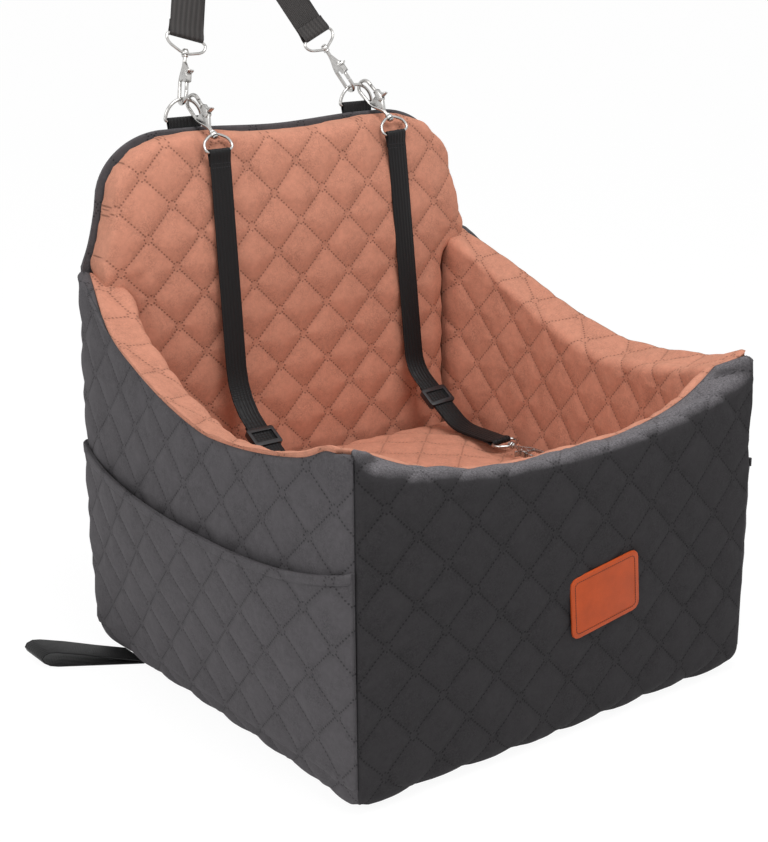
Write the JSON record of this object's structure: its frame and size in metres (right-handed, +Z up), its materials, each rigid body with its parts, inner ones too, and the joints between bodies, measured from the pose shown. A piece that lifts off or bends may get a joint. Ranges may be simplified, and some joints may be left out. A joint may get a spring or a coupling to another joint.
{
  "type": "dog car seat",
  "caption": "Raised, padded dog car seat with a tall quilted backrest, side pockets, tether straps and a strap that goes over the headrest of a car seat.",
  "frame": {"origin": "middle of the base, on the surface that the seat stands on", "axes": "+X to the right seen from the front, +Y to the rear, +Z up"},
  "size_m": [0.5898, 0.5919, 0.8112],
  "materials": {
    "grey_velvet": "short dark grey pile",
    "terracotta_velvet": "short terracotta pile, quilted",
    "foam": "open cell foam",
    "base_cloth": "coated black cloth",
    "webbing": "woven black webbing",
    "head_webbing": "ribbed dark webbing",
    "nickel": "polished nickel",
    "black_plastic": "moulded black",
    "leather": "tan, bare"
  },
  "bodies": {
    "seat": {"outer_front_panel": "grey_velvet", "outer_left_panel": "grey_velvet", "outer_right_panel": "grey_velvet", "outer_back_panel": "grey_velvet", "bottom_panel": "base_cloth", "front_foam": "foam", "left_foam": "foam", "right_foam": "foam", "back_foam": "foam", "booster_foam": "foam", "front_liner": "terracotta_velvet", "left_liner": "terracotta_velvet", "right_liner": "terracotta_velvet", "backrest_pad": "terracotta_velvet", "seat_cushion": "terracotta_velvet", "left_pocket": "grey_velvet", "right_pocket": "grey_velvet", "left_pocket_binding": "grey_velvet", "right_pocket_binding": "grey_velvet", "leather_patch": "leather", "left_ring_tab": "webbing", "right_ring_tab": "webbing", "headrest_strap": "head_webbing", "left_head_bail": "nickel", "right_head_bail": "nickel", "left_tether_strap": "webbing", "right_tether_strap": "webbing", "left_upper_bail": "nickel", "right_upper_bail": "nickel", "left_lower_bail": "nickel", "right_lower_bail": "nickel", "rear_anchor_loop": "webbing"},
    "left_ring": {"left_d_ring": "nickel"},
    "right_ring": {"right_d_ring": "nickel"},
    "left_head_hook": {"left_head_hook": "nickel"},
    "left_head_gate": {"left_head_gate": "nickel"},
    "right_head_hook": {"right_head_hook": "nickel"},
    "right_head_gate": {"right_head_gate": "nickel"},
    "left_upper_hook": {"left_upper_hook": "nickel"},
    "left_upper_gate": {"left_upper_gate": "nickel"},
    "right_upper_hook": {"right_upper_hook": "nickel"},
    "right_upper_gate": {"right_upper_gate": "nickel"},
    "left_lower_hook": {"left_lower_hook": "nickel"},
    "left_lower_gate": {"left_lower_gate": "nickel"},
    "right_lower_hook": {"right_lower_hook": "nickel"},
    "right_lower_gate": {"right_lower_gate": "nickel"},
    "left_adjuster": {"left_tether_adjuster": "black_plastic"},
    "right_adjuster": {"right_tether_adjuster": "black_plastic"}
  },
  "joints": [
    {"name": "left_ring_hinge", "type": "hinge", "parent": "seat", "child": "left_ring", "pos_m": [-0.108, 0.23375, 0.534], "axis": [1, 0, 0], "range_deg": [-2.5, 2.5]},
    {"name": "right_ring_hinge", "type": "hinge", "parent": "seat", "child": "right_ring", "pos_m": [0.108, 0.23375, 0.534], "axis": [1, 0, 0], "range_deg": [-2.5, 2.5]},
    {"name": "left_head_swivel", "type": "hinge", "parent": "seat", "child": "left_head_hook", "pos_m": [-0.09447, 0.24845, 0.59643], "axis": [0.2941, 0.3196, 0.9007], "range_deg": [-15, 15]},
    {"name": "right_head_swivel", "type": "hinge", "parent": "seat", "child": "right_head_hook", "pos_m": [0.082, 0.2514, 0.59188], "axis": [-0.3942, 0.3838, 0.8351], "range_deg": [-15, 15]},
    {"name": "left_upper_swivel", "type": "hinge", "parent": "seat", "child": "left_upper_hook", "pos_m": [-0.0951, 0.19924, 0.52263], "axis": [0.0529, -0.7585, -0.6496], "range_deg": [-15, 15]},
    {"name": "right_upper_swivel", "type": "hinge", "parent": "seat", "child": "right_upper_hook", "pos_m": [0.12663, 0.20067, 0.52263], "axis": [0.1802, -0.7336, -0.6553], "range_deg": [-15, 15]},
    {"name": "left_lower_swivel", "type": "hinge", "parent": "seat", "child": "left_lower_hook", "pos_m": [-0.09499, -0.01706, 0.1945], "axis": [0, 1, 0], "range_deg": [-8, 8]},
    {"name": "right_lower_swivel", "type": "hinge", "parent": "seat", "child": "right_lower_hook", "pos_m": [0.14526, 0.01173, 0.1945], "axis": [0, 1, 0], "range_deg": [-8, 8]},
    {"name": "left_head_gate_hinge", "type": "hinge", "parent": "left_head_hook", "child": "left_head_gate", "pos_m": [-0.1005, 0.23577, 0.58014], "axis": [0.9558, -0.0984, -0.2772], "range_deg": [0, 25], "stiffness_Nm_per_rad": 0.02, "springref_deg": -11.46},
    {"name": "right_head_gate_hinge", "type": "hinge", "parent": "right_head_hook", "child": "right_head_gate", "pos_m": [0.08914, 0.23753, 0.57708], "axis": [0.9077, 0.0203, 0.4192], "range_deg": [0, 25], "stiffness_Nm_per_rad": 0.02, "springref_deg": -11.46},
    {"name": "left_upper_gate_hinge", "type": "hinge", "parent": "left_upper_hook", "child": "left_upper_gate", "pos_m": [-0.09416, 0.21085, 0.54071], "axis": [-0.949, -0.2406, 0.2037], "range_deg": [0, 25], "stiffness_Nm_per_rad": 0.02, "springref_deg": -11.46},
    {"name": "right_upper_gate_hinge", "type": "hinge", "parent": "right_upper_hook", "child": "right_upper_gate", "pos_m": [0.12504, 0.2119, 0.5409], "axis": [-0.9288, -0.3462, 0.1321], "range_deg": [0, 25], "stiffness_Nm_per_rad": 0.02, "springref_deg": -11.46},
    {"name": "left_lower_gate_hinge", "type": "hinge", "parent": "left_lower_hook", "child": "left_lower_gate", "pos_m": [-0.10149, -0.03756, 0.1945], "axis": [0, 0, 1], "range_deg": [0, 25], "stiffness_Nm_per_rad": 0.02, "springref_deg": -11.46},
    {"name": "right_lower_gate_hinge", "type": "hinge", "parent": "right_lower_hook", "child": "right_lower_gate", "pos_m": [0.13877, -0.00877, 0.19414], "axis": [-0.0558, 0, 0.9984], "range_deg": [0, 25], "stiffness_Nm_per_rad": 0.02, "springref_deg": -11.46},
    {"name": "left_adjuster_slide", "type": "slide", "parent": "seat", "child": "left_adjuster", "axis": [0, -0.866, -0.5], "range_m": [0, 0.028]},
    {"name": "right_adjuster_slide", "type": "slide", "parent": "seat", "child": "right_adjuster", "axis": [0.0304, -0.8387, -0.5438], "range_m": [-0.014, 0.016]}
  ]
}
